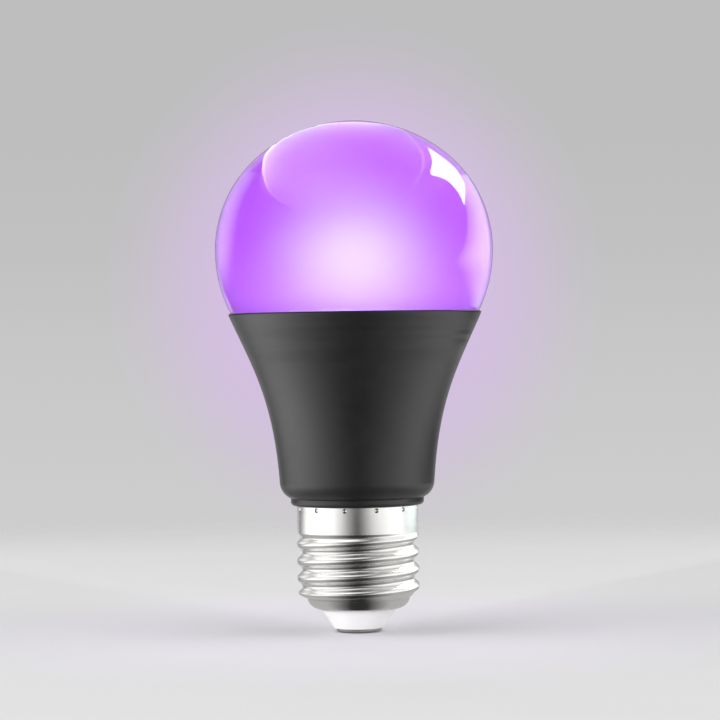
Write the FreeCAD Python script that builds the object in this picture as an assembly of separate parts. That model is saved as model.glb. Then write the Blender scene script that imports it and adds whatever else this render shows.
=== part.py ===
import FreeCAD
import Part
import math
import os

os.makedirs("parts", exist_ok=True)

V = FreeCAD.Vector

# Ultraviolet lamp bulb with a screw cap. All lengths are in millimetres.
# The lamp's axis is +Z, and z = 0 is the flat end of the centre contact.
# +X is to the right of the viewed side, and the viewed side faces -Y.

# Clearances
slip_fit = 0.15
seat_gap = 0.1

# Centre contact
contact_radius = 4.9
contact_height = 0.87
contact_edge_round = 0.6
shank_radius = 1.3
shank_length = 6.6

# Base insulator
insulator_height = 4.1
insulator_tip_radius = 5.4
insulator_floor = 3.2
insulator_wall = 1.8
insulator_top_rise = 0.4

# Screw shell, 27 mm Edison size, rolled from thin sheet
thread_crest_radius = 13.15
thread_depth = 1.09
thread_pitch = 3.629
thread_length = 14.2
thread_start_runout = 1.5
thread_finish_runout = 1.5
thread_start_rise = 2.47
sheet_thickness = 0.32
roll_relief = 0.03
skirt_ease = 0.2
skirt_length = 5.7
bowl_height = 2.3
bowl_setback = 2.1
bowl_bulge = 0.62
shell_mouth_radius = 8.35
thread_rows_per_pitch = 16
thread_columns = 80

# Crimps that lock the shell on the housing
crimp_count = 12
crimp_first_angle = -162.0
crimp_punch_radius = 0.6
crimp_depth = 0.3
crimp_drop = 0.62

# Housing
collar_overhang = 1.31
collar_height = 1.55
collar_round = 0.8
neck_overhang = 2.34
neck_turn = 66.0
flare_height = 36.1
rim_radius = 27.1
rim_round = 0.35
rim_land = 3.0
flare_top_angle = 24.0
flare_top_lead = 12.0
flare_neck_angle = 4.0
flare_neck_lead = 18.0
housing_wall = 1.8
housing_floor = 1.8
cavity_round = 1.5
shelf_width = 3.0
spigot_wall = 1.8
spigot_chamfer = 0.6
board_slot_depth = 0.35
board_slot_rise = 4.4

# Globe
globe_step = 0.48
globe_drop = 13.3
globe_crown = 27.7
globe_side_round = 26.5
globe_wall = 1.5
globe_shoulder = 1.5
globe_skirt_wall = 1.4
globe_skirt_depth = 3.0
bead_height = 0.3
bead_half_width = 0.6
bead_drop = 1.7

# Heat sink cup and light board
cup_wall = 1.0
cup_lip = 0.3
cup_depth = 20.0
cup_foot_width = 3.0
cup_hole_ease = 1.5
led_board_thickness = 1.2
led_count = 12
led_length = 3.5
led_width = 2.8
led_height = 0.7
led_window_radius = 1.1
led_window_depth = 0.2
led_ring_inset = 7.6

# Driver board and what is soldered to it
driver_board_thickness = 1.2
part_gap = 1.6
solder_length = 4.0
capacitor_radius = 4.0
capacitor_length = 12.0
capacitor_groove = 0.4
capacitor_groove_rise = 1.8
capacitor_edge_round = 0.6
choke_radius = 3.0
choke_length = 7.5
choke_flange = 1.1
choke_winding_inset = 0.35
fuse_radius = 1.5
fuse_length = 8.0
fuse_cap_length = 1.6
fuse_cap_inset = 0.2
fuse_lead_radius = 0.3
fuse_lead_reach = 1.2
film_width = 7.0
film_depth = 4.0
film_length = 9.0
film_round = 0.7
rectifier_width = 3.9
rectifier_length = 4.7
rectifier_height = 1.6
rectifier_leads = 2
chip_width = 3.9
chip_length = 4.9
chip_height = 1.5
chip_leads = 4
package_lead_width = 0.42
package_lead_height = 0.22
package_lead_reach = 1.0

# Leads, pins and the pin socket
pin_side = 0.64
pin_spacing = 5.08
pin_hole_ease = 0.3
pin_top_cover = 0.8
socket_length = 9.0
socket_width = 4.6
socket_height = 3.0
lead_radius = 0.5
lead_bend = 1.0
lead_groove_ease = 0.2
neutral_rise = 10.0

# Heights along the axis
shell_bottom = contact_height + insulator_height
bowl_top = shell_bottom + bowl_height
thread_top = bowl_top + thread_length
shell_top = thread_top + skirt_length
collar_top = shell_top + collar_height

# Radii of the cap
thread_root_radius = thread_crest_radius - thread_depth
skirt_radius = thread_crest_radius - skirt_ease
bowl_top_radius = thread_crest_radius - bowl_setback
insulator_neck_radius = shell_mouth_radius - slip_fit
insulator_top = bowl_top + insulator_top_rise

# The housing's outline
collar_radius = skirt_radius + collar_overhang
neck_radius = collar_radius + neck_overhang
neck_round = neck_overhang / (1 - math.cos(math.radians(neck_turn)))
neck_top = collar_top + neck_round * math.sin(math.radians(neck_turn))
rim_top = neck_top + flare_height
spigot_bottom = insulator_top + seat_gap
spigot_radius = thread_root_radius - sheet_thickness - slip_fit
spigot_top_radius = skirt_radius - sheet_thickness - slip_fit
bore_radius = spigot_radius - spigot_wall
cavity_floor = collar_top + housing_floor

# The globe's seat in the housing
mouth_radius = rim_radius - rim_land
globe_skirt_radius = mouth_radius - slip_fit
globe_skirt_bore = globe_skirt_radius - globe_skirt_wall
globe_rim_radius = rim_radius - globe_step
globe_radius = math.hypot(globe_rim_radius, globe_drop)
globe_middle = rim_top + globe_drop
globe_top = globe_middle + globe_crown
shelf_top = rim_top - globe_skirt_depth - seat_gap
shelf_radius = mouth_radius - shelf_width
bead_middle = rim_top - bead_drop

# Heat sink cup and light board
cup_rim_radius = globe_skirt_bore - slip_fit
cup_body_radius = shelf_radius - slip_fit
board_seat = shelf_top + cup_wall
led_board_top = board_seat + led_board_thickness
led_board_radius = cup_rim_radius - cup_wall - seat_gap
led_ring_radius = led_board_radius - led_ring_inset

# Driver board, sized by its slots and by the parts stacked up its front
board_bottom = spigot_bottom + board_slot_rise
board_half_width = bore_radius + board_slot_depth - seat_gap
board_face = driver_board_thickness / 2
fuse_bottom = board_bottom + solder_length
choke_bottom = fuse_bottom + fuse_length + 2 * fuse_lead_reach + part_gap
capacitor_bottom = choke_bottom + choke_length + part_gap
pin_bottom = capacitor_bottom + capacitor_length + part_gap
board_top = pin_bottom + solder_length
rectifier_bottom = board_bottom + solder_length + part_gap
chip_bottom = rectifier_bottom + rectifier_length + part_gap
film_bottom = chip_bottom + chip_length + part_gap
pin_line = -board_face - pin_side / 2
cup_hole_radius = math.hypot(board_half_width, board_face) + cup_hole_ease
cup_foot_radius = cup_hole_radius + cup_foot_width
cup_foot = shelf_top - cup_depth


def at(radius, height):
    """A point of a turned profile, in the plane through the axis and +X."""
    return V(radius, 0, height)


def line(start, end):
    return Part.LineSegment(start, end).toShape()


def arc(start, middle, end):
    return Part.Arc(start, middle, end).toShape()


def chain(points):
    """Straight edges from point to point."""
    return [line(start, end) for start, end in zip(points, points[1:])]


def turned(edges):
    """The solid that a closed profile sweeps round the axis."""
    face = Part.Face(Part.Wire(edges))
    return face.revolve(V(0, 0, 0), V(0, 0, 1), 360)


def corner_round(centre, radius, start_angle, end_angle):
    """An arc of a profile, with angles in degrees from +X towards +Z."""
    angles = [start_angle, (start_angle + end_angle) / 2, end_angle]
    points = [centre + polar(radius, angle) for angle in angles]
    return arc(*points)


def polar(radius, angle):
    turn = math.radians(angle)
    return V(radius * math.cos(turn), 0, radius * math.sin(turn))


def block(x_range, y_range, z_range):
    size = [high - low for low, high in (x_range, y_range, z_range)]
    return Part.makeBox(*size, V(x_range[0], y_range[0], z_range[0]))


def copies_round(shape, count, first_angle):
    """Copies of a shape at equal steps round the axis."""
    result = []
    for index in range(count):
        copy = shape.copy()
        copy.rotate(V(0, 0, 0), V(0, 0, 1), first_angle + index * 360 / count)
        result.append(copy)
    return result


def wire_along(points, radius, bend):
    """A round wire along straight runs with an arc at each turn."""
    edges = []
    start = points[0]
    for before, corner, after in zip(points, points[1:], points[2:]):
        into = (before - corner).normalize()
        out = (after - corner).normalize()
        half_turn = into.getAngle(out) / 2
        setback = bend / math.tan(half_turn)
        middle = (into + out).normalize() * (bend / math.sin(half_turn) - bend)
        edges.append(line(start, corner + into * setback))
        edges.append(arc(corner + into * setback, corner + middle, corner + out * setback))
        start = corner + out * setback
    edges.append(line(start, points[-1]))
    section = Part.Wire(Part.makeCircle(radius, points[0], points[1] - points[0]))
    return Part.Wire(edges).makePipeShell([section], True, False)


def flare_curve(inset):
    """The housing's flare from neck to rim, moved towards the axis by an inset."""
    top = at(rim_radius - inset, rim_top - rim_round)
    foot = at(neck_radius - inset, neck_top)
    top_turn = math.radians(flare_top_angle)
    foot_turn = math.radians(flare_neck_angle)
    top_pole = top - at(math.sin(top_turn), math.cos(top_turn)) * flare_top_lead
    foot_pole = foot + at(math.sin(foot_turn), math.cos(foot_turn)) * flare_neck_lead
    curve = Part.BezierCurve()
    curve.setPoles([foot, foot_pole, top_pole, top])
    return curve.toShape()


def bowl_arc(inset):
    """The shell's bowl in section, moved in from its outer face by an inset."""
    low = at(shell_mouth_radius, shell_bottom)
    high = at(bowl_top_radius, bowl_top)
    across = (high - low).normalize()
    outward = at(across.z, -across.x)
    middle = (low + high) / 2 + outward * (bowl_bulge - inset)
    return low + at(0, inset), middle, high - at(inset, 0)


def centre_contact():
    flat_radius = contact_radius - contact_edge_round
    shank_top = contact_height + shank_length
    edges = [line(at(0, 0), at(flat_radius, 0))]
    edges.append(corner_round(at(flat_radius, contact_edge_round), contact_edge_round, -90, 0))
    edges += chain([
        at(contact_radius, contact_edge_round),
        at(contact_radius, contact_height),
        at(shank_radius, contact_height),
        at(shank_radius, shank_top),
        at(0, shank_top),
        at(0, 0),
    ])
    return turned(edges)


def base_insulator():
    seat_low, _, seat_high = bowl_arc(sheet_thickness + slip_fit)
    shoulder_radius = seat_high.x
    hole_radius = shank_radius + seat_gap
    well_floor = contact_height + insulator_floor
    well_radius = insulator_neck_radius - insulator_wall
    return turned(chain([
        at(hole_radius, contact_height),
        at(insulator_tip_radius, contact_height),
        at(insulator_neck_radius, shell_bottom),
        at(insulator_neck_radius, seat_low.z),
        at(shoulder_radius, bowl_top),
        at(shoulder_radius, insulator_top),
        at(well_radius, insulator_top),
        at(well_radius, well_floor),
        at(hole_radius, well_floor),
        at(hole_radius, contact_height),
    ]))


def rise_and_level(value):
    """From 0 to 1, steep at first and level at the end."""
    part = min(value, 1.0)
    return part * (2 - part)


def smooth_step(value):
    """From 0 to 1, level at both ends."""
    part = min(value, 1.0)
    return part * part * (3 - 2 * part)


def knuckle(turns):
    """The thread's height over its mean, in section: equal arcs, crest up and root down."""
    arc_radius = (thread_pitch**2 / 4 + thread_depth**2) / thread_depth / 4
    reach = (turns % 1 - 0.5) * thread_pitch
    off_root = abs(reach)
    off_crest = thread_pitch / 2 - off_root
    if off_crest < off_root:
        return thread_depth / 2 - arc_radius + math.sqrt(arc_radius**2 - off_crest**2)
    return arc_radius - thread_depth / 2 - math.sqrt(arc_radius**2 - off_root**2)


def thread_radius(angle, height):
    """The rolled thread's outer radius: a right-hand thread that runs out at both ends."""
    start = rise_and_level((height - bowl_top) / thread_start_runout)
    finish = smooth_step((thread_top - height) / thread_finish_runout)
    mean_radius = thread_crest_radius - thread_depth / 2
    low_radius = bowl_top_radius - roll_relief
    high_radius = skirt_radius - roll_relief
    level = low_radius + (mean_radius - low_radius) * start
    level += (high_radius - mean_radius) * (1 - finish)
    first_crest = bowl_top + thread_start_rise
    turns = (height - first_crest) / thread_pitch - angle / (2 * math.pi)
    return level + start * finish * knuckle(turns)


def thread_faces(inset):
    """The thread's surface in two half turns, moved towards the axis by an inset."""
    rows = math.ceil(thread_length / thread_pitch * thread_rows_per_pitch)
    steps = [0, 1 / 3, *range(1, rows), rows - 1 / 3, rows]
    heights = [bowl_top + thread_length * step / rows for step in steps]
    column_angle = 2 * math.pi / thread_columns
    round_gain = 3 / (2 + math.cos(column_angle))
    poles = []
    for column in range(thread_columns):
        angle = column * column_angle
        direction = V(math.cos(angle), math.sin(angle), 0) * round_gain
        poles.append([
            direction * (thread_radius(angle, height) - inset) + V(0, 0, height)
            for height in heights
        ])
    around = range(thread_columns + 1)
    upward = range(rows + 1)
    single_knots = [1] * len(around)
    clamped_knots = [4] + [1] * (rows - 1) + [4]
    surface = Part.BSplineSurface()
    surface.buildFromPolesMultsKnots(
        poles, single_knots, clamped_knots, list(around), list(upward), True, False, 3, 3
    )
    half_turn = thread_columns // 2
    faces = []
    for first in (0, half_turn):
        half = surface.copy()
        half.segment(first, first + half_turn, 0, rows)
        faces.append(half.toShape())
    return faces


def thread_end(outer, inner, height):
    """The flat ring that closes the rolled sheet at one end of the thread."""
    wires = []
    for faces in (outer, inner):
        rims = [
            edge
            for face in faces
            for edge in face.Edges
            if edge.BoundBox.ZLength < roll_relief and abs(edge.CenterOfMass.z - height) < roll_relief
        ]
        wires.append(Part.Wire(Part.__sortEdges__(rims)))
    return Part.makeFace(wires, "Part::FaceMakerBullseye")


def rolled_thread():
    outer = thread_faces(0)
    inner = thread_faces(sheet_thickness - 2 * roll_relief)
    ends = [thread_end(outer, inner, height) for height in (bowl_top, thread_top)]
    shell = Part.Shell(outer + inner + [face for end in ends for face in end.Faces])
    shell.sewShape()
    solid = Part.Solid(shell)
    if solid.Volume < 0:
        solid.reverse()
    return solid


def crimp_spheres(radius):
    """Balls at the crimps, sunk so that the punch leaves its depth in the skirt."""
    reach = skirt_radius + crimp_punch_radius - crimp_depth
    ball = Part.makeSphere(radius, V(reach, 0, shell_top - crimp_drop))
    return copies_round(ball, crimp_count, crimp_first_angle)


def screw_shell():
    low, middle, high = bowl_arc(0)
    inner_low, inner_middle, inner_high = bowl_arc(sheet_thickness)
    bowl = turned([
        arc(low, middle, high),
        line(high, inner_high),
        arc(inner_high, inner_middle, inner_low),
        line(inner_low, low),
    ])
    skirt_bore = skirt_radius - sheet_thickness
    foot = V(0, 0, thread_top)
    tube = Part.makeCylinder(skirt_radius, skirt_length, foot)
    tube = tube.cut(Part.makeCylinder(skirt_bore, skirt_length, foot))
    inside = Part.makeCylinder(skirt_radius - sheet_thickness / 2, skirt_length, foot)
    bumps = [ball.common(inside) for ball in crimp_spheres(crimp_punch_radius + sheet_thickness)]
    tube = tube.fuse(bumps).cut(crimp_spheres(crimp_punch_radius))
    return rolled_thread().fuse([bowl, tube])


def housing_body():
    """The housing's outside with its spigot, solid to the axis."""
    step = thread_top + seat_gap
    step_rise = spigot_top_radius - spigot_radius
    edges = chain([
        at(0, spigot_bottom),
        at(spigot_radius - spigot_chamfer, spigot_bottom),
        at(spigot_radius, spigot_bottom + spigot_chamfer),
        at(spigot_radius, step),
        at(spigot_top_radius, step + step_rise),
        at(spigot_top_radius, shell_top),
        at(collar_radius - collar_round, shell_top),
    ])
    collar_centre = at(collar_radius - collar_round, shell_top + collar_round)
    edges.append(corner_round(collar_centre, collar_round, -90, 0))
    edges.append(line(at(collar_radius, shell_top + collar_round), at(collar_radius, collar_top)))
    neck_centre = at(neck_radius - neck_round, neck_top)
    edges.append(corner_round(neck_centre, neck_round, -neck_turn, 0))
    edges.append(flare_curve(0))
    rim_centre = at(rim_radius - rim_round, rim_top - rim_round)
    edges.append(corner_round(rim_centre, rim_round, 0, 90))
    edges += chain([at(rim_radius - rim_round, rim_top), at(0, rim_top), at(0, spigot_bottom)])
    return turned(edges)


def housing_cavity():
    """The hollow of the neck and flare, below the shelf that carries the cup."""
    side = neck_radius - housing_wall
    edges = [line(at(0, cavity_floor), at(side - cavity_round, cavity_floor))]
    corner = at(side - cavity_round, cavity_floor + cavity_round)
    edges.append(corner_round(corner, cavity_round, -90, 0))
    edges.append(line(at(side, cavity_floor + cavity_round), at(side, neck_top)))
    edges.append(flare_curve(housing_wall))
    edges += chain([
        at(rim_radius - housing_wall, rim_top - rim_round),
        at(0, rim_top - rim_round),
        at(0, cavity_floor),
    ])
    return turned(edges).common(Part.makeCylinder(shelf_radius, shelf_top))


def housing_mouth():
    """The globe's seat: a plain bore with a groove for the globe's bead."""
    mouth = Part.makeCylinder(mouth_radius, rim_top - shelf_top, V(0, 0, shelf_top))
    half_width = bead_half_width + slip_fit
    groove = turned([
        arc(
            at(mouth_radius, bead_middle - half_width),
            at(mouth_radius + bead_height, bead_middle),
            at(mouth_radius, bead_middle + half_width),
        ),
        *chain([
            at(mouth_radius, bead_middle + half_width),
            at(0, bead_middle + half_width),
            at(0, bead_middle - half_width),
            at(mouth_radius, bead_middle - half_width),
        ]),
    ])
    return mouth.fuse(groove)


def lead_passage():
    """The groove and notch by which the neutral lead leaves the spigot."""
    half_width = lead_radius + lead_groove_ease
    inner = neutral_line() - half_width
    sides = (-half_width, half_width)
    groove_top = neutral_level() + neutral_rise + half_width
    groove = block(sides, (inner, spigot_radius + half_width), (spigot_bottom, groove_top))
    notch = block(sides, (0, spigot_radius), (spigot_bottom, neutral_level() + half_width))
    return groove.fuse(notch)


def housing():
    slot_half = board_face + seat_gap
    slot_reach = bore_radius + board_slot_depth
    bore = Part.makeCylinder(bore_radius, cavity_floor - spigot_bottom, V(0, 0, spigot_bottom))
    slots = block((-slot_reach, slot_reach), (-slot_half, slot_half), (board_bottom, cavity_floor))
    recesses = crimp_spheres(crimp_punch_radius + sheet_thickness + slip_fit)
    body = housing_body().cut([housing_cavity(), housing_mouth(), bore, slots, lead_passage()])
    lower = Part.makeCylinder(collar_radius, shell_top)
    return body.cut([ball.common(lower) for ball in recesses])


def globe():
    inner_radius = globe_radius - globe_wall
    shoulder_top = rim_top + globe_shoulder
    shoulder_radius = math.sqrt(inner_radius**2 - (globe_middle - shoulder_top)**2)
    skirt_end = rim_top - globe_skirt_depth
    centre = at(0, globe_middle)
    side_centre = centre + at(globe_radius - globe_side_round, 0)
    cap_round = (globe_radius**2 + globe_crown**2 - 2 * globe_radius * globe_side_round) / 2
    cap_round /= globe_crown - globe_side_round
    cap_centre = centre + at(0, globe_crown - cap_round)
    across = side_centre - cap_centre
    turn = math.degrees(math.atan2(across.z, across.x))

    def crown(inset):
        return [
            corner_round(side_centre, globe_side_round - inset, 0, turn),
            corner_round(cap_centre, cap_round - inset, turn, 90),
        ]

    def lower_side(radius, end):
        angle = math.degrees(math.atan2(end.z - globe_middle, end.x))
        return corner_round(centre, radius, angle, 0)

    rim = at(globe_rim_radius, rim_top)
    shoulder = at(shoulder_radius, shoulder_top)
    edges = crown(0) + [lower_side(globe_radius, rim)]
    edges += chain([
        rim,
        at(globe_skirt_radius, rim_top),
        at(globe_skirt_radius, bead_middle + bead_half_width),
    ])
    edges.append(arc(
        at(globe_skirt_radius, bead_middle + bead_half_width),
        at(globe_skirt_radius + bead_height, bead_middle),
        at(globe_skirt_radius, bead_middle - bead_half_width),
    ))
    edges += chain([
        at(globe_skirt_radius, bead_middle - bead_half_width),
        at(globe_skirt_radius, skirt_end),
        at(globe_skirt_bore, skirt_end),
        at(globe_skirt_bore, shoulder_top),
        shoulder,
    ])
    edges.append(lower_side(inner_radius, shoulder))
    edges += crown(globe_wall)
    edges.append(line(at(0, globe_top - globe_wall), at(0, globe_top)))
    return turned(Part.__sortEdges__(edges))


def heat_sink_cup():
    cup_top = led_board_top + cup_lip
    rim_bore = cup_rim_radius - cup_wall
    return turned(chain([
        at(cup_rim_radius, shelf_top),
        at(cup_rim_radius, cup_top),
        at(rim_bore, cup_top),
        at(rim_bore, board_seat),
        at(cup_body_radius - cup_wall, board_seat),
        at(cup_foot_radius - cup_wall, cup_foot + cup_wall),
        at(cup_hole_radius, cup_foot + cup_wall),
        at(cup_hole_radius, cup_foot),
        at(cup_foot_radius, cup_foot),
        at(cup_body_radius, shelf_top),
        at(cup_rim_radius, shelf_top),
    ]))


def pin_lines():
    return [V(side * pin_spacing / 2, pin_line, 0) for side in (-1, 1)]


def pin_holes(low, high):
    radius = math.hypot(pin_side, pin_side) / 2 + pin_hole_ease
    return [Part.makeCylinder(radius, high - low, foot + V(0, 0, low)) for foot in pin_lines()]


def led_board():
    disc = Part.makeCylinder(led_board_radius, led_board_thickness, V(0, 0, board_seat))
    return disc.cut(pin_holes(board_seat, led_board_top))


def led_chips():
    half_length = led_length / 2
    half_width = led_width / 2
    along = (led_ring_radius - half_length, led_ring_radius + half_length)
    top = led_board_top + led_height
    chip = block(along, (-half_width, half_width), (led_board_top, top))
    window_floor = V(led_ring_radius, 0, top - led_window_depth)
    chip = chip.cut(Part.makeCylinder(led_window_radius, led_window_depth, window_floor))
    return Part.Compound(copies_round(chip, led_count, 0))


def output_pins():
    top = led_board_top + socket_height - pin_top_cover
    half = pin_side / 2
    pins = [
        block((foot.x - half, foot.x + half), (foot.y - half, foot.y + half), (pin_bottom, top))
        for foot in pin_lines()
    ]
    return Part.Compound(pins)


def pin_socket():
    half_length = socket_length / 2
    half_width = socket_width / 2
    top = led_board_top + socket_height
    sides = (pin_line - half_width, pin_line + half_width)
    body = block((-half_length, half_length), sides, (led_board_top, top))
    return body.cut(pin_holes(led_board_top, top - pin_top_cover + seat_gap))


def driver_board():
    width = (-board_half_width, board_half_width)
    return block(width, (-board_face, board_face), (board_bottom, board_top))


def stood_off(shape, radius, bottom):
    """A turned part laid against the front of the driver board, its axis upright."""
    shape.translate(V(0, -board_face - radius, bottom))
    return shape


def electrolytic_capacitor():
    groove_low = capacitor_groove_rise - capacitor_groove
    groove_high = capacitor_groove_rise + capacitor_groove
    shoulder = capacitor_length - capacitor_edge_round
    edges = chain([at(0, 0), at(capacitor_radius, 0), at(capacitor_radius, groove_low)])
    edges.append(arc(
        at(capacitor_radius, groove_low),
        at(capacitor_radius - capacitor_groove, capacitor_groove_rise),
        at(capacitor_radius, groove_high),
    ))
    edges.append(line(at(capacitor_radius, groove_high), at(capacitor_radius, shoulder)))
    edge_centre = at(capacitor_radius - capacitor_edge_round, shoulder)
    edges.append(corner_round(edge_centre, capacitor_edge_round, 0, 90))
    edges += chain([
        at(capacitor_radius - capacitor_edge_round, capacitor_length),
        at(0, capacitor_length),
        at(0, 0),
    ])
    return stood_off(turned(edges), capacitor_radius, capacitor_bottom)


def choke_coil():
    winding_radius = choke_radius - choke_winding_inset
    body = turned(chain([
        at(0, 0),
        at(choke_radius, 0),
        at(choke_radius, choke_flange),
        at(winding_radius, choke_flange),
        at(winding_radius, choke_length - choke_flange),
        at(choke_radius, choke_length - choke_flange),
        at(choke_radius, choke_length),
        at(0, choke_length),
        at(0, 0),
    ]))
    return stood_off(body, choke_radius, choke_bottom)


def fuse_resistor():
    waist = fuse_radius - fuse_cap_inset
    low = fuse_lead_reach
    high = low + fuse_length
    body = turned(chain([
        at(0, low),
        at(fuse_radius, low),
        at(fuse_radius, low + fuse_cap_length),
        at(waist, low + fuse_cap_length + fuse_cap_inset),
        at(waist, high - fuse_cap_length - fuse_cap_inset),
        at(fuse_radius, high - fuse_cap_length),
        at(fuse_radius, high),
        at(0, high),
        at(0, low),
    ]))
    leads = [
        wire_along(
            [V(0, 0, root), V(0, 0, end), V(0, fuse_radius, end)],
            fuse_lead_radius,
            2 * fuse_lead_radius,
        )
        for root, end in ((low, fuse_lead_radius), (high, high + low - fuse_lead_radius))
    ]
    return stood_off(body.fuse(leads), fuse_radius, fuse_bottom)


def film_capacitor():
    half = film_width / 2
    sides = (board_face, board_face + film_depth)
    body = block((-half, half), sides, (film_bottom, film_bottom + film_length))
    outer = [edge for edge in body.Edges if edge.BoundBox.YMin > board_face + film_depth / 2]
    return body.makeFillet(film_round, outer)


def flat_package(width, length, height, leads_per_side, bottom):
    """A moulded chip on the back of the driver board, with leads down both sides."""
    half = width / 2
    body = block((-half, half), (board_face, board_face + height), (bottom, bottom + length))
    reach = half + package_lead_reach
    leads = []
    for index in range(leads_per_side):
        middle = bottom + length * (index + 0.5) / leads_per_side
        span = (middle - package_lead_width / 2, middle + package_lead_width / 2)
        leads.append(block((-reach, reach), (board_face, board_face + package_lead_height), span))
    return body.fuse(leads)


def bridge_rectifier():
    return flat_package(
        rectifier_width, rectifier_length, rectifier_height, rectifier_leads, rectifier_bottom
    )


def driver_chip():
    return flat_package(chip_width, chip_length, chip_height, chip_leads, chip_bottom)


def live_lead():
    """From the contact's shank up to the front of the driver board."""
    side = -board_face - lead_radius
    shank_top = contact_height + shank_length
    rise = board_bottom - shank_top
    return wire_along(
        [
            V(0, 0, shank_top),
            V(0, 0, shank_top + rise / 3),
            V(0, side, board_bottom - rise / 4),
            V(0, side, board_bottom + solder_length / 2),
        ],
        lead_radius,
        lead_bend,
    )


def neutral_line():
    """How far from the axis the neutral lead stands outside the spigot."""
    return spigot_radius - lead_radius


def neutral_level():
    """The height at which the neutral lead passes under the spigot's wall."""
    return spigot_bottom + lead_radius + lead_groove_ease


def neutral_lead():
    """From the back of the driver board out to the inside of the screw shell."""
    side = board_face + lead_radius
    level = neutral_level()
    return wire_along(
        [
            V(0, side, board_bottom + solder_length),
            V(0, side, level),
            V(0, neutral_line(), level),
            V(0, neutral_line(), level + neutral_rise),
        ],
        lead_radius,
        lead_bend,
    )


nodes = {
    "globe": globe(),
    "housing": housing(),
    "screw_shell": screw_shell(),
    "base_insulator": base_insulator(),
    "centre_contact": centre_contact(),
    "heat_sink_cup": heat_sink_cup(),
    "led_board": led_board(),
    "led_chips": led_chips(),
    "pin_socket": pin_socket(),
    "output_pins": output_pins(),
    "driver_board": driver_board(),
    "electrolytic_capacitor": electrolytic_capacitor(),
    "choke_coil": choke_coil(),
    "fuse_resistor": fuse_resistor(),
    "film_capacitor": film_capacitor(),
    "bridge_rectifier": bridge_rectifier(),
    "driver_chip": driver_chip(),
    "live_lead": live_lead(),
    "neutral_lead": neutral_lead(),
}

for name, shape in nodes.items():
    shape.exportStep("parts/" + name + ".step")
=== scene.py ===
import math

import bpy
from mathutils import Euler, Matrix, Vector
from mathutils.interpolate import poly_3d_calc

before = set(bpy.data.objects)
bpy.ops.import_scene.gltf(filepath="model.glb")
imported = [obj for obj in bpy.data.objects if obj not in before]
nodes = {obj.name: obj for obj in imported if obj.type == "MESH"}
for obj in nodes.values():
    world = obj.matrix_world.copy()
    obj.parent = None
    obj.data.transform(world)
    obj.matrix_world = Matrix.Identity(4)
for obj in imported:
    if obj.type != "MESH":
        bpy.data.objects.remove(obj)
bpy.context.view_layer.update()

# Ultraviolet lamp bulb, lit, standing on its cap. Lengths are in metres and turns in degrees.
# The camera looks along +Y, with +X to the right.

globe = nodes["globe"]
shell = nodes["screw_shell"]
white = (1.0, 1.0, 1.0)

# Camera
camera_place = Vector((0.00097, -0.579, 0.0618))
camera_pitch = -0.36
camera_roll = -0.8
camera_lens = 135.0
camera_sensor = 36.0
picture_size = 720

# Grain that the finishes share: spans are of the noise, and the coarse grain is counted in fine ones
noise_detail = 4.0
noise_roughness = 0.55
tone_span = (0.3, 0.7)
value_span = (0.25, 0.75)
coarse_grain = 12
relief_strength = 0.4
even_stretch = (1.0, 1.0, 1.0)
drawn_stretch = (1.0, 1.0, 6.0)
wound_stretch = (1.0, 1.0, 8.0)

# Globe plastic
globe_index = 1.46
globe_edge_tint = (0.2, 0.1, 0.3)
globe_transmission = 0.85
globe_tones = ((0.56, 0.215, 0.80), (0.58, 0.225, 0.82))
globe_roughness = (0.70, 0.74)
globe_grain = 0.02
# The globe's glow is painted: emission that stands in for the LEDs' light coming through the plastic,
# strongest at its foot
painted_glow_strength = 0.3
painted_glow_tones = ((0.44, 0.055, 0.68), (0.46, 0.06, 0.71))
painted_foot_glow = (0.62, 0.22, 1.0)
foot_glow_full = 0.066
foot_glow_end = 0.086
coat_index = 1.6
coat_roughness = 0.02

# Moulding ripples of the housing
ripple_foot = 0.0575
ripple_fade = 0.004
ripple_pitch = 0.003
ripple_depth = 0.0004
ripple_stretch = (0.04, 0.04, 1.0)
ripple_detail = 1.0

# Glowing faces under the globe: the chips' own light and the board's painted glow
lit_roughness = 0.45
lit_grain = 0.002

# Floor
floor_radius = 0.40
floor_sides = 128
floor_fade_start = 0.22
floor_colour = (0.79, 0.79, 0.79)
floor_shade = 0.985
floor_grain = 0.05
floor_roughness = 0.55
floor_gloss = 0.2
# Painted violet pool of the bulb's light round its foot, which also lightens the shadow there
painted_light_pool_colour = (0.86, 0.835, 0.89)
painted_light_pool_full = 0.04
painted_light_pool_end = 0.10

# Backdrop: its tones lie on the rise from low to high, and the spans are of a direction's depth
backdrop_low = -0.25
backdrop_high = 0.15
backdrop_tones = ((0.0, 0.74), (0.44, 0.62), (0.61, 0.575), (0.72, 0.53), (0.82, 0.515), (1.0, 0.51))
backdrop_mean = 0.55
ambient_level = 0.24
front_shade = 0.16
front_span = (-0.9, 0.2)
back_shade = 0.4
back_span = (0.95, 0.985)
# A painted violet glow of the bulb's light on the backdrop, round the globe
painted_halo_colour = (0.66, 0.52, 0.755)
halo_height = 0.0745
halo_stretch = 0.95
halo_inner = 0.035
halo_outer = 0.103

# Lamps
side_place = (0.5, -0.12, 0.25)
side_size = (1.0, 0.5)
left_radiance = 2.4
right_radiance = 2.0
top_place = (-0.1, -0.2, 0.7)
top_aim = (-0.1, -0.2, 0.0)
top_size = (1.6, 0.3)
top_radiance = 1.75
fill_places = {"front_fill": (-0.2, -0.5, 0.2), "rear_fill": (0.2, 0.5, 0.2)}
fill_aim = (0.0, 0.0, 0.0)
fill_size = (0.5, 0.2)
fill_radiance = 7.0
back_place = (0.0, 0.45, 0.5)
back_aim = (0.0, 0.3, 0.0)
back_size = (1.0, 0.6)
back_radiance = 0.5

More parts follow.
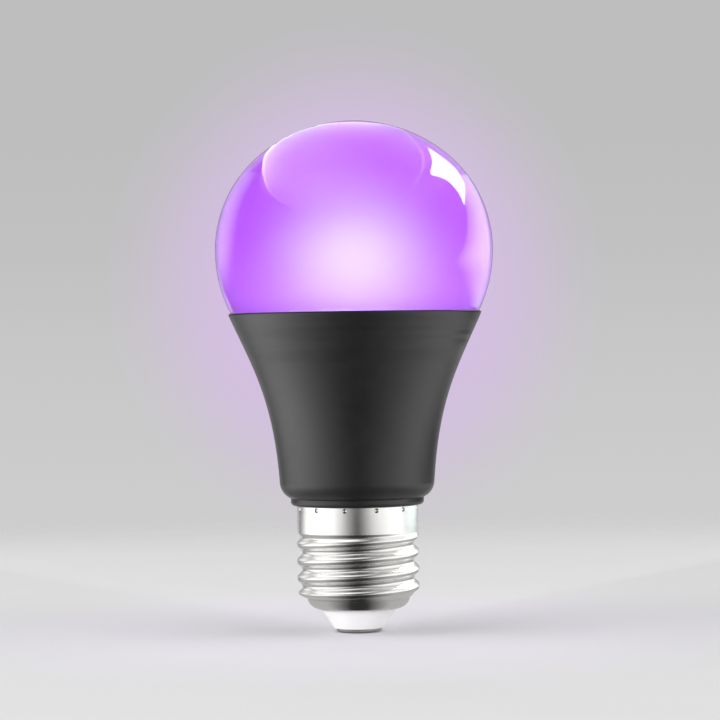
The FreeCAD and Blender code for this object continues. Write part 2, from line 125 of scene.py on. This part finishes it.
# The ring of light inside the globe
inner_height = 0.0806
inner_ring = 0.0073
inner_count = 8
inner_radius = 0.010
inner_radiance = 10.8
inner_colour = (0.24, 1.0, 0.20)

# The globe in the picture, in its pixels, and how its cards are placed
globe_middle = (354.0, 250.0)
globe_reach = 138.0
limb_share = 0.985
inward_shares = range(100, 50, -1)
card_clearance = 0.004

# The round panel over the globe: picture points of its outline and, for each light, where it is none and full
overhead_outline = (
    (262, 172), (265, 155), (279, 140.5), (303, 129), (330, 123), (357, 122), (383, 124), (402, 129),
    (412, 137.5), (420, 147), (424.5, 160), (420, 178), (405, 197), (375, 210), (340, 216), (312, 215),
    (293, 209), (276, 199), (266, 187), (262, 172),
)
overhead_middle = (343, 168)
overhead_core = 0.02
overhead_reach = 0.55
overhead_steps = 34
overhead_bend = 0.5
panel_light = 0.10
panel_across = (418, 318)
panel_down = (216, 186)
edge_light = 0.60
edge_depth = 0.12
edge_across = (430, 370)
edge_down = (190, 150)
line_light = 0.10
line_share = (0.965, 0.985)
line_down = (208, 178)
corner_light = 0.45
corner_across = (330, 280)
corner_down = (173, 143)

# The window on the globe, in picture points
window_top = ((428.5, 147.5), (441, 156), (455, 168), (462, 178.5), (465, 187), (464.5, 204))
window_foot = ((428.5, 149), (432.5, 162), (431, 174), (445, 179), (457, 190.5), (464, 204.5))
window_reach = 0.42
window_light = 0.86
window_steps = 3

# The tall panels at the globe's sides, with their inner edges in picture points
side_reach = 0.5
right_edge = (
    (431, 175), (445, 179.5), (457, 191), (465, 206), (467.5, 226), (464, 246), (457, 260), (458, 272),
    (463, 286), (467, 298), (468, 307),
)
right_colour = (0.9, 1.0, 1.0)
right_light = 0.06
right_rise = 0.44
right_foot_down = (252, 272)
right_foot_light = 0.42
right_foot_power = 1.5
left_edge = ((259, 172), (252, 184), (244, 200), (237, 230), (234, 255), (232, 276), (233, 296))
left_light = 0.32
left_down = (296, 256)

# The light cove that the lower pieces mirror: turns are from the camera's side, radii from the bulb's axis
cove_turn = 150
cove_step = 5
cove_lift = 0.0005
cove_radii = (0.006, 0.016, 0.022, 0.03, 0.04, 0.055, 0.08, 0.12, 0.2, 0.3, 0.4, 0.5, 0.6)
cove_left = {"level": 3.0, "far_width": 48, "back_drop": 0.9}
cove_right = {"level": 1.75, "far_width": 34, "back_drop": 0.75}
rise_turns = (2, 70)
rise_power = 1.5
far_level = 1.5
far_start = -3
far_radii = (0.2, 0.4)
back_turn = 91
back_delay = 12
back_fade = 45
near_level = 0.03
near_turns = (14, 59)
near_rise = 0.5
near_cut = 0.18
near_cut_radii = (0.03, 0.06)
near_radii = (0.04, 0.14)
wall_radius = 0.64
wall_heights = (0.0, 0.04, 0.12, 0.25, 0.4, 0.55)
wall_fade = 0.25
wall_front_drop = 0.9
wall_side_drop = 0.25
wall_front_turns = (55, 20)


def new_material(name):
    """A node material and its Principled shader."""
    material = bpy.data.materials.new(name)
    material.use_nodes = True
    shader = material.node_tree.nodes["Principled BSDF"]
    return material, shader


def add_node(tree, kind, **settings):
    node = tree.nodes.new(kind)
    for key, value in settings.items():
        setattr(node, key, value)
    return node


def set_inputs(node, values):
    for key, value in values.items():
        node.inputs[key].default_value = value


def rgba(colour):
    return (*colour, 1.0)


def noise(tree, grain, stretch=even_stretch, detail=noise_detail):
    """Noise in the object's own coordinates, with its grain size in metres."""
    place = add_node(tree, "ShaderNodeTexCoord")
    mapping = add_node(tree, "ShaderNodeMapping")
    mapping.inputs["Scale"].default_value = [part / grain for part in stretch]
    texture = add_node(tree, "ShaderNodeTexNoise")
    set_inputs(texture, {"Scale": 1.0, "Detail": detail, "Roughness": noise_roughness})
    tree.links.new(place.outputs["Object"], mapping.inputs["Vector"])
    tree.links.new(mapping.outputs["Vector"], texture.inputs["Vector"])
    return texture.outputs["Fac"]


def object_height(tree):
    """The height of a point in the object's own coordinates."""
    place = add_node(tree, "ShaderNodeTexCoord")
    parts = add_node(tree, "ShaderNodeSeparateXYZ")
    tree.links.new(place.outputs["Object"], parts.inputs["Vector"])
    return parts.outputs["Z"]


def map_range(tree, value, start, end, low=0.0, high=1.0, kind="SMOOTHSTEP"):
    """A value that runs from low to high while another runs from start to end."""
    node = add_node(tree, "ShaderNodeMapRange", interpolation_type=kind)
    set_inputs(node, {"From Min": start, "From Max": end, "To Min": low, "To Max": high})
    tree.links.new(value, node.inputs["Value"])
    return node.outputs["Result"]


def spread(tree, factor, low, high):
    """A value that runs from low to high with the noise."""
    return map_range(tree, factor, *value_span, low, high, "LINEAR")


def two_tones(tree, factor, first, second):
    """A colour that runs from one tone to another with the noise."""
    ramp = add_node(tree, "ShaderNodeValToRGB")
    for element, position, tone in zip(ramp.color_ramp.elements, tone_span, (first, second)):
        element.position = position
        element.color = rgba(tone)
    tree.links.new(factor, ramp.inputs["Fac"])
    return ramp.outputs["Color"]


def mixed(tree, factor, first, second):
    """A colour that goes from a node's colour to a fixed one with a factor."""
    node = add_node(tree, "ShaderNodeMix", data_type="RGBA")
    node.inputs["B"].default_value = rgba(second)
    tree.links.new(factor, node.inputs["Factor"])
    tree.links.new(first, node.inputs["A"])
    return node.outputs["Result"]


def arithmetic(tree, operation, first, second):
    node = add_node(tree, "ShaderNodeMath", operation=operation)
    tree.links.new(first, node.inputs[0])
    tree.links.new(second, node.inputs[1])
    return node.outputs["Value"]


def bump(tree, height, strength, depth):
    node = add_node(tree, "ShaderNodeBump")
    set_inputs(node, {"Strength": strength, "Distance": depth})
    tree.links.new(height, node.inputs["Height"])
    return node


def finish(name, tones, roughness, grain, relief, stretch=even_stretch, **sockets):
    """A finish with two close tones, a range of roughness and a fine relief."""
    material, shader = new_material(name)
    tree = material.node_tree
    set_inputs(shader, {key.replace("_", " "): value for key, value in sockets.items()})
    coarse = noise(tree, grain * coarse_grain, stretch)
    fine = noise(tree, grain, stretch)
    tree.links.new(two_tones(tree, coarse, *tones), shader.inputs["Base Color"])
    tree.links.new(spread(tree, coarse, *roughness), shader.inputs["Roughness"])
    tree.links.new(bump(tree, fine, relief_strength, relief).outputs["Normal"], shader.inputs["Normal"])
    return material


def globe_finish():
    """Light-passing purple plastic with a polished skin and a painted glow that stands in for the light from
    inside, strongest at its foot.
    """
    material, shader = new_material("globe_plastic")
    tree = material.node_tree
    set_inputs(shader, {
        "IOR": globe_index,
        "Specular Tint": rgba(globe_edge_tint),
        "Transmission Weight": globe_transmission,
        "Coat Weight": 1.0,
        "Coat Roughness": coat_roughness,
        "Coat IOR": coat_index,
        "Emission Strength": painted_glow_strength,
    })
    mottle = noise(tree, globe_grain)
    # Painted glow, brighter towards the globe's foot
    foot = map_range(tree, object_height(tree), foot_glow_full, foot_glow_end, 1.0, 0.0)
    glow = mixed(tree, foot, two_tones(tree, mottle, *painted_glow_tones), painted_foot_glow)
    tree.links.new(two_tones(tree, mottle, *globe_tones), shader.inputs["Base Color"])
    tree.links.new(spread(tree, mottle, *globe_roughness), shader.inputs["Roughness"])
    tree.links.new(glow, shader.inputs["Emission Color"])
    return material


def housing_finish():
    """Satin black plastic with faint moulding ripples under the rim."""
    material = finish(
        "housing_plastic",
        tones=((0.015, 0.015, 0.0155), (0.018, 0.018, 0.0185)),
        roughness=(0.32, 0.38),
        grain=0.00025,
        relief=0.00002,
    )
    tree = material.node_tree
    shader = tree.nodes["Principled BSDF"]
    grain = shader.inputs["Normal"].links[0].from_socket
    under_rim = map_range(tree, object_height(tree), ripple_foot, ripple_foot + ripple_fade)
    wave = noise(tree, ripple_pitch, ripple_stretch, ripple_detail)
    ripple = bump(tree, arithmetic(tree, "MULTIPLY", under_rim, wave), 1.0, ripple_depth)
    tree.links.new(grain, ripple.inputs["Normal"])
    tree.links.new(ripple.outputs["Normal"], shader.inputs["Normal"])
    return material


def lit_finish(name, tones, strength):
    """A pale face that sends light up into the globe: the chips' own light, or on the board a painted glow of
    the light it would bounce.
    """
    material, shader = new_material(name)
    tree = material.node_tree
    set_inputs(shader, {"Roughness": lit_roughness, "Emission Strength": strength})
    tone = two_tones(tree, noise(tree, lit_grain), *tones)
    tree.links.new(tone, shader.inputs["Base Color"])
    tree.links.new(tone, shader.inputs["Emission Color"])
    return material


def outer_finishes():
    """The finishes of the pieces that are seen."""
    return {
        "globe": globe_finish(),
        "housing": housing_finish(),
        "screw_shell": finish(
            "shell_nickel",
            tones=((0.74, 0.73, 0.71), (0.78, 0.77, 0.75)),
            roughness=(0.20, 0.26),
            grain=0.0004,
            relief=0.0000012,
            stretch=drawn_stretch,
            Metallic=1.0,
        ),
        "base_insulator": finish(
            "insulator_white",
            tones=((0.84, 0.84, 0.83), (0.88, 0.88, 0.87)),
            roughness=(0.30, 0.38),
            grain=0.0004,
            relief=0.00001,
        ),
        "centre_contact": finish(
            "contact_nickel",
            tones=((0.36, 0.35, 0.33), (0.46, 0.45, 0.43)),
            roughness=(0.28, 0.42),
            grain=0.0003,
            relief=0.00001,
            Metallic=1.0,
        ),
    }


def light_finishes():
    """The finishes of the cup, the light board and what is on it."""
    return {
        "heat_sink_cup": finish(
            "cup_aluminium",
            tones=((0.74, 0.74, 0.76), (0.80, 0.80, 0.82)),
            roughness=(0.28, 0.40),
            grain=0.0005,
            relief=0.00001,
            stretch=drawn_stretch,
            Metallic=1.0,
        ),
        # The board's emission is painted glow: the chips' light that it would bounce, painted on
        "led_board": lit_finish("board_white", tones=((0.72, 0.92, 1.0), (0.68, 0.88, 1.0)), strength=0.5),
        "led_chips": lit_finish("chip_light", tones=((0.72, 0.90, 1.0), (0.68, 0.86, 1.0)), strength=2.5),
        "pin_socket": finish(
            "socket_white",
            tones=((0.80, 0.79, 0.76), (0.84, 0.83, 0.80)),
            roughness=(0.35, 0.45),
            grain=0.0004,
            relief=0.00001,
        ),
        "output_pins": finish(
            "pin_tin",
            tones=((0.60, 0.59, 0.56), (0.66, 0.65, 0.62)),
            roughness=(0.25, 0.40),
            grain=0.0003,
            relief=0.000004,
            Metallic=1.0,
        ),
    }


def driver_finishes():
    """The finishes of the driver board, its components and the leads."""
    package = finish(
        "package_epoxy",
        tones=((0.02, 0.02, 0.02), (0.03, 0.03, 0.03)),
        roughness=(0.5, 0.6),
        grain=0.0002,
        relief=0.00001,
    )
    return {
        "driver_board": finish(
            "board_green",
            tones=((0.03, 0.16, 0.07), (0.05, 0.22, 0.10)),
            roughness=(0.30, 0.42),
            grain=0.0006,
            relief=0.00001,
        ),
        "electrolytic_capacitor": finish(
            "can_sleeve",
            tones=((0.03, 0.035, 0.06), (0.05, 0.055, 0.09)),
            roughness=(0.28, 0.40),
            grain=0.0005,
            relief=0.00001,
        ),
        "choke_coil": finish(
            "copper_winding",
            tones=((0.50, 0.20, 0.09), (0.62, 0.28, 0.13)),
            roughness=(0.25, 0.40),
            grain=0.00015,
            relief=0.00004,
            stretch=wound_stretch,
            Metallic=0.8,
        ),
        "fuse_resistor": finish(
            "resistor_lacquer",
            tones=((0.12, 0.30, 0.36), (0.16, 0.36, 0.42)),
            roughness=(0.25, 0.35),
            grain=0.0005,
            relief=0.00001,
        ),
        "film_capacitor": finish(
            "film_epoxy",
            tones=((0.48, 0.13, 0.06), (0.56, 0.17, 0.08)),
            roughness=(0.25, 0.35),
            grain=0.0006,
            relief=0.00002,
        ),
        "bridge_rectifier": package,
        "driver_chip": package,
        "live_lead": finish(
            "lead_red",
            tones=((0.40, 0.02, 0.02), (0.48, 0.03, 0.03)),
            roughness=(0.35, 0.45),
            grain=0.0005,
            relief=0.00001,
        ),
        "neutral_lead": finish(
            "lead_tin",
            tones=((0.58, 0.57, 0.54), (0.64, 0.63, 0.60)),
            roughness=(0.30, 0.42),
            grain=0.0003,
            relief=0.000004,
            Metallic=1.0,
        ),
    }


def dress_nodes():
    for finishes in (outer_finishes(), light_finishes(), driver_finishes()):
        for name, material in finishes.items():
            for slot in nodes[name].material_slots:
                slot.material = material


def make_floor():
    """A round pale floor with a painted violet pool of the bulb's light at its foot, whose edge fades into
    the backdrop.
    """
    bpy.ops.mesh.primitive_circle_add(vertices=floor_sides, radius=floor_radius, fill_type="NGON")
    floor = bpy.context.object
    floor.name = "floor"
    material, shader = new_material("floor_paint")
    tree = material.node_tree
    set_inputs(shader, {"Roughness": floor_roughness, "Specular IOR Level": floor_gloss})
    shade = tuple(part * floor_shade for part in floor_colour)
    paint = two_tones(tree, noise(tree, floor_grain), floor_colour, shade)
    place = add_node(tree, "ShaderNodeTexCoord")
    length = add_node(tree, "ShaderNodeVectorMath", operation="LENGTH")
    tree.links.new(place.outputs["Object"], length.inputs[0])
    distance = length.outputs["Value"]
    # Painted light: the bulb's violet light pooled on the floor near its foot
    painted_light_pool = map_range(tree, distance, painted_light_pool_full, painted_light_pool_end, 1.0, 0.0)
    fade = map_range(tree, distance, floor_fade_start, floor_radius, 1.0, 0.0)
    tree.links.new(mixed(tree, painted_light_pool, paint, painted_light_pool_colour), shader.inputs["Base Color"])
    tree.links.new(fade, shader.inputs["Alpha"])
    floor.data.materials.append(material)
    return floor


def backdrop_colour(tree, direction, height):
    """Grey by elevation, with a painted violet glow of the bulb's light behind the globe."""
    grey = add_node(tree, "ShaderNodeValToRGB")
    elements = grey.color_ramp.elements
    while len(elements) < len(backdrop_tones):
        elements.new(0.5)
    for element, (position, tone) in zip(elements, backdrop_tones):
        element.position = position
        element.color = (tone, tone, tone, 1.0)
    rise = map_range(tree, height, backdrop_low, backdrop_high, kind="LINEAR")
    tree.links.new(rise, grey.inputs["Fac"])

    # Painted violet glow of the bulb's light on the backdrop round the globe
    towards = Vector((0.0, 0.0, halo_height)) - camera_place
    offset = add_node(tree, "ShaderNodeVectorMath", operation="SUBTRACT")
    offset.inputs[1].default_value = towards.normalized()
    tree.links.new(direction, offset.inputs[0])
    squeeze = add_node(tree, "ShaderNodeVectorMath", operation="MULTIPLY")
    squeeze.inputs[1].default_value = (1.0, 1.0, halo_stretch)
    tree.links.new(offset.outputs["Vector"], squeeze.inputs[0])
    distance = add_node(tree, "ShaderNodeVectorMath", operation="LENGTH")
    tree.links.new(squeeze.outputs["Vector"], distance.inputs[0])
    glow = map_range(tree, distance.outputs["Value"], halo_inner, halo_outer, 1.0, 0.0, "SMOOTHERSTEP")
    return mixed(tree, glow, grey.outputs["Color"], painted_halo_colour)


def backdrop_strength(tree, depth):
    """Full where it is seen, darker in front and behind where it is mirrored, and low as ambient light."""
    front = map_range(tree, depth, *front_span, front_shade, 1.0)
    back = map_range(tree, depth, *back_span, 1.0, back_shade)
    rays = add_node(tree, "ShaderNodeLightPath")
    unseen = add_node(tree, "ShaderNodeMix")
    unseen.inputs["A"].default_value = ambient_level / backdrop_mean
    tree.links.new(rays.outputs["Is Glossy Ray"], unseen.inputs["Factor"])
    tree.links.new(arithmetic(tree, "MULTIPLY", front, back), unseen.inputs["B"])
    seen = arithmetic(tree, "MAXIMUM", rays.outputs["Is Camera Ray"], rays.outputs["Is Transmission Ray"])
    strength = add_node(tree, "ShaderNodeMix")
    strength.inputs["B"].default_value = 1.0
    tree.links.new(seen, strength.inputs["Factor"])
    tree.links.new(unseen.outputs["Result"], strength.inputs["A"])
    return strength.outputs["Result"]


def make_world():
    world = bpy.data.worlds.new("studio")
    bpy.context.scene.world = world
    world.use_nodes = True
    tree = world.node_tree
    tree.nodes.clear()
    place = add_node(tree, "ShaderNodeTexCoord")
    direction = place.outputs["Generated"]
    parts = add_node(tree, "ShaderNodeSeparateXYZ")
    tree.links.new(direction, parts.inputs["Vector"])
    background = add_node(tree, "ShaderNodeBackground")
    output = add_node(tree, "ShaderNodeOutputWorld")
    tree.links.new(backdrop_colour(tree, direction, parts.outputs["Z"]), background.inputs["Color"])
    tree.links.new(backdrop_strength(tree, parts.outputs["Y"]), background.inputs["Strength"])
    tree.links.new(background.outputs["Background"], output.inputs["Surface"])


def light_only(light, *pieces):
    """A light that falls on some pieces and on nothing else."""
    receivers = bpy.data.collections.new(light.name + "_receivers")
    for piece in pieces:
        receivers.objects.link(piece)
    light.light_linking.receiver_collection = receivers


def light_all_but(light, *pieces):
    """A light that falls on everything except some pieces."""
    light_only(light, *pieces)
    for entry in light.light_linking.receiver_collection.collection_objects:
        entry.light_linking.link_state = "EXCLUDE"


def softbox(name, place, aim, size, radiance):
    """A flat lamp of a given radiance that faces a point."""
    lamp = bpy.data.lights.new(name, "AREA")
    lamp.shape = "RECTANGLE"
    lamp.size, lamp.size_y = size
    lamp.energy = radiance * size[0] * size[1] * math.pi
    light = bpy.data.objects.new(name, lamp)
    bpy.context.scene.collection.objects.link(light)
    light.location = place
    light.rotation_euler = (Vector(aim) - Vector(place)).to_track_quat("-Z", "Y").to_euler()
    light.visible_camera = False
    light.visible_transmission = False
    return light


def make_lights(floor):
    across, depth, height = side_place
    for name, side, radiance in (("left_softbox", -1, left_radiance), ("right_softbox", 1, right_radiance)):
        light = softbox(name, (across * side, depth, height), (0.0, depth, height), side_size, radiance)
        light.visible_glossy = False
        light_all_but(light, globe, shell)
    light_all_but(softbox("top_softbox", top_place, top_aim, top_size, top_radiance), globe, shell)
    for name, place in fill_places.items():
        light_only(softbox(name, place, fill_aim, fill_size, fill_radiance), nodes["base_insulator"])
    light_only(softbox("back_fill", back_place, back_aim, back_size, back_radiance), floor)


def make_inner_light():
    """The ring of light over the board, seen only through the globe."""
    lamp = bpy.data.lights.new("inner_light", "POINT")
    lamp.shadow_soft_size = inner_radius
    lamp.color = inner_colour
    lamp.energy = inner_radiance / inner_count * 4.0 * (math.pi * inner_radius) ** 2
    for index in range(inner_count):
        turn = 2 * math.pi * (index + 0.5) / inner_count
        light = bpy.data.objects.new(f"inner_light_{index + 1}", lamp)
        bpy.context.scene.collection.objects.link(light)
        light.location = (inner_ring * math.cos(turn), inner_ring * math.sin(turn), inner_height)
        light.visible_camera = False
        light.visible_glossy = False


def camera_turn():
    level = Euler((math.radians(90 + camera_pitch), 0.0, 0.0)).to_matrix()
    roll = Euler((0.0, 0.0, math.radians(camera_roll))).to_matrix()
    return level @ roll


def line_of_sight(point):
    """The camera's line of sight through a point of the picture."""
    step = camera_sensor / camera_lens / picture_size
    across = (point[0] - picture_size / 2) * step
    up = (picture_size / 2 - point[1]) * step
    return (camera_turn() @ Vector((across, up, -1.0))).normalized()


def globe_hit(point):
    """Where the line of sight through a picture point, or one just inside it, meets the globe's skin."""
    home = globe.matrix_world.inverted()
    middle = Vector(globe_middle)
    for share in inward_shares:
        sight = line_of_sight(middle + (Vector(point) - middle) * share / 100)
        found, spot, _, index = globe.ray_cast(home @ camera_place, home.to_3x3() @ sight)
        if found:
            break
    face = globe.data.polygons[index]
    weights = poly_3d_calc([globe.data.vertices[corner].co for corner in face.vertices], spot)
    normal = Vector()
    for weight, loop in zip(weights, face.loop_indices):
        normal += weight * globe.data.corner_normals[loop].vector
    return sight, globe.matrix_world @ spot, (globe.matrix_world.to_3x3() @ normal).normalized()


def mirrored(point, reach):
    """The place that the globe's skin mirrors at a picture point, and the share of light mirrored."""
    sight, spot, normal = globe_hit(point)
    facing = -sight.dot(normal)
    outward = sight + 2 * facing * normal
    if outward.z < 0:
        reach = min(reach, (card_clearance - spot.z) / outward.z)
    head_on = ((coat_index - 1) / (coat_index + 1)) ** 2
    gloss = head_on + (1 - head_on) * (1 - facing) ** 5
    return spot + outward * reach, gloss


def ramp(value, zero, one):
    """A share that is 0 at one value and 1 at another, straight between them and level beyond."""
    return min(max((value - zero) / (one - zero), 0.0), 1.0)


def smooth_line(points, steps=5):
    """More points on a smooth line through a few."""
    ends = [points[0], *points, points[-1]]
    line = []
    for before, first, second, after in zip(ends, ends[1:], ends[2:], ends[3:]):
        for step in range(steps):
            t = step / steps
            line.append(tuple(
                b + 0.5 * t * (c - a + t * (2 * a - 5 * b + 4 * c - d + t * (3 * (b - c) + d - a)))
                for a, b, c, d in zip(before, first, second, after)
            ))
    return [*line, points[-1]]


def glow_material(name, colour):
    """A light whose strength comes from the mesh's own glow."""
    material = bpy.data.materials.new(name)
    material.use_nodes = True
    tree = material.node_tree
    tree.nodes.clear()
    level = add_node(tree, "ShaderNodeAttribute", attribute_name="glow")
    emission = add_node(tree, "ShaderNodeEmission")
    emission.inputs["Color"].default_value = rgba(colour)
    output = add_node(tree, "ShaderNodeOutputMaterial")
    tree.links.new(level.outputs["Fac"], emission.inputs["Strength"])
    tree.links.new(emission.outputs["Emission"], output.inputs["Surface"])
    return material


def card(name, rows, glows, colour, *receivers):
    """A bright card in rows of points, each with its own glow, that only some nodes mirror."""
    width = len(rows[0])
    corners = [point for row in rows for point in row]
    faces = []
    for row in range(len(rows) - 1):
        for column in range(width - 1):
            first = row * width + column
            faces.append((first, first + 1, first + width + 1, first + width))
    mesh = bpy.data.meshes.new(name)
    mesh.from_pydata(corners, [], faces)
    glow = mesh.attributes.new("glow", "FLOAT", "POINT")
    glow.data.foreach_set("value", [value for row in glows for value in row])
    mesh.materials.append(glow_material(name + "_light", colour))
    panel = bpy.data.objects.new(name, mesh)
    bpy.context.scene.collection.objects.link(panel)
    panel.visible_camera = False
    panel.visible_diffuse = False
    panel.visible_transmission = False
    panel.visible_shadow = False
    light_only(panel, *(nodes[receiver] for receiver in receivers))


def mirror_card(name, inner, outer, reach, glow, steps=10, bend=1.0, colour=white):
    """A card that the globe mirrors between two lines of picture points, with the light it adds there."""
    shares = [(step / steps) ** bend for step in range(steps + 1)]
    rows = []
    glows = []
    for start, end in zip(inner, outer):
        points = [tuple(a + (b - a) * share for a, b in zip(start, end)) for share in shares]
        places = [mirrored(point, reach) for point in points]
        rows.append([place for place, _ in places])
        glows.append([glow(point, share) / gloss for point, share, (_, gloss) in zip(points, shares, places)])
    card(name, rows, glows, colour, "globe", "screw_shell")


def limb(point):
    """The picture point just inside the globe's outline, level with another and on its side."""
    middle_x, middle_y = globe_middle
    half = math.sqrt((globe_reach * limb_share) ** 2 - (point[1] - middle_y) ** 2)
    return (middle_x + math.copysign(half, point[0] - middle_x), point[1])


def overhead_glow(point, share):
    """A faint panel, a soft light at its edge, and a fine line round it, brightest at the upper left."""
    x, y = point
    panel = panel_light * ramp(x, *panel_across) * ramp(y, *panel_down)
    edge = edge_light * math.exp((share - 1) / edge_depth) * ramp(x, *edge_across) * ramp(y, *edge_down)
    corner = corner_light * ramp(x, *corner_across) * ramp(y, *corner_down)
    line = (line_light + corner) * ramp(share, *line_share) * ramp(y, *line_down)
    return panel + edge + line


def window_glow(point, share):
    return window_light


def right_glow(point, share):
    """A light that grows towards the outline, softer at the panel's foot."""
    low = ramp(point[1], *right_foot_down)
    upper = right_light + right_rise * share
    foot = right_foot_light * share ** right_foot_power
    return upper * (1 - low) + foot * low


def left_glow(point, share):
    """A light that grows towards the outline and ends at the panel's foot."""
    return left_light * share * ramp(point[1], *left_down)


def make_globe_cards():
    """What the polished globe mirrors: a round panel overhead, a window and a tall panel on each side."""
    outline = smooth_line(overhead_outline)
    core = [
        tuple(middle + (part - middle) * overhead_core for part, middle in zip(point, overhead_middle))
        for point in outline
    ]
    mirror_card("overhead_card", core, outline, overhead_reach, overhead_glow, overhead_steps, overhead_bend)
    top = smooth_line(window_top)
    foot = smooth_line(window_foot)
    mirror_card("window_card", top, foot, window_reach, window_glow, window_steps)
    right_inner = smooth_line(right_edge)
    right_outer = [limb(point) for point in right_inner]
    mirror_card("right_card", right_inner, right_outer, side_reach, right_glow, colour=right_colour)
    left_inner = smooth_line(left_edge)
    left_outer = [limb(point) for point in left_inner]
    mirror_card("left_card", left_inner, left_outer, side_reach, left_glow)


def cove_glow(turn, radius):
    """The cove's light at a turn from the camera's side, left below zero, and a distance from the axis."""
    angle = abs(turn)
    side = cove_left if turn < 0 else cove_right
    far = ramp(radius, *far_radii)
    middle = side["level"] * ramp(angle, *rise_turns) ** rise_power
    distant = far_level * ramp(angle, far_start, far_start + side["far_width"])
    wide = middle + (distant - middle) * far
    back = back_turn + back_delay * far
    wide *= 1.0 - side["back_drop"] * ramp(angle, back, back + back_fade)
    near = near_level + ramp(angle, *near_turns) * (near_rise - near_cut * ramp(radius, *near_cut_radii))
    return near + (wide - near) * ramp(radius, *near_radii)


def wall_share(turn, height):
    """The share of the cove's light that is left at a height, least towards the camera."""
    drop = wall_side_drop + (wall_front_drop - wall_side_drop) * ramp(abs(turn), *wall_front_turns)
    return 1.0 - drop * ramp(height, 0.0, wall_fade)


def make_cove():
    """A light cove round the bulb, dark towards the camera, that only the lower pieces mirror."""
    coves = {
        "cove_floor": [(radius, cove_lift) for radius in cove_radii],
        "cove_wall": [(wall_radius, height) for height in wall_heights],
    }
    for name, profile in coves.items():
        rows = []
        glows = []
        for turn in range(-cove_turn, cove_turn + 1, cove_step):
            x, y = math.sin(math.radians(turn)), -math.cos(math.radians(turn))
            rows.append([(x * radius, y * radius, height) for radius, height in profile])
            glows.append([cove_glow(turn, radius) * wall_share(turn, height) for radius, height in profile])
        card(name, rows, glows, white, "housing", "screw_shell", "base_insulator", "centre_contact")


def make_camera():
    camera_data = bpy.data.cameras.new("camera")
    camera_data.lens = camera_lens
    camera_data.sensor_width = camera_sensor
    camera = bpy.data.objects.new("camera", camera_data)
    bpy.context.scene.collection.objects.link(camera)
    camera.location = camera_place
    camera.rotation_euler = camera_turn().to_euler()
    bpy.context.scene.camera = camera


dress_nodes()
floor = make_floor()
make_world()
make_lights(floor)
make_inner_light()
make_globe_cards()
make_cove()
make_camera()
bpy.context.scene.view_settings.view_transform = "Standard"
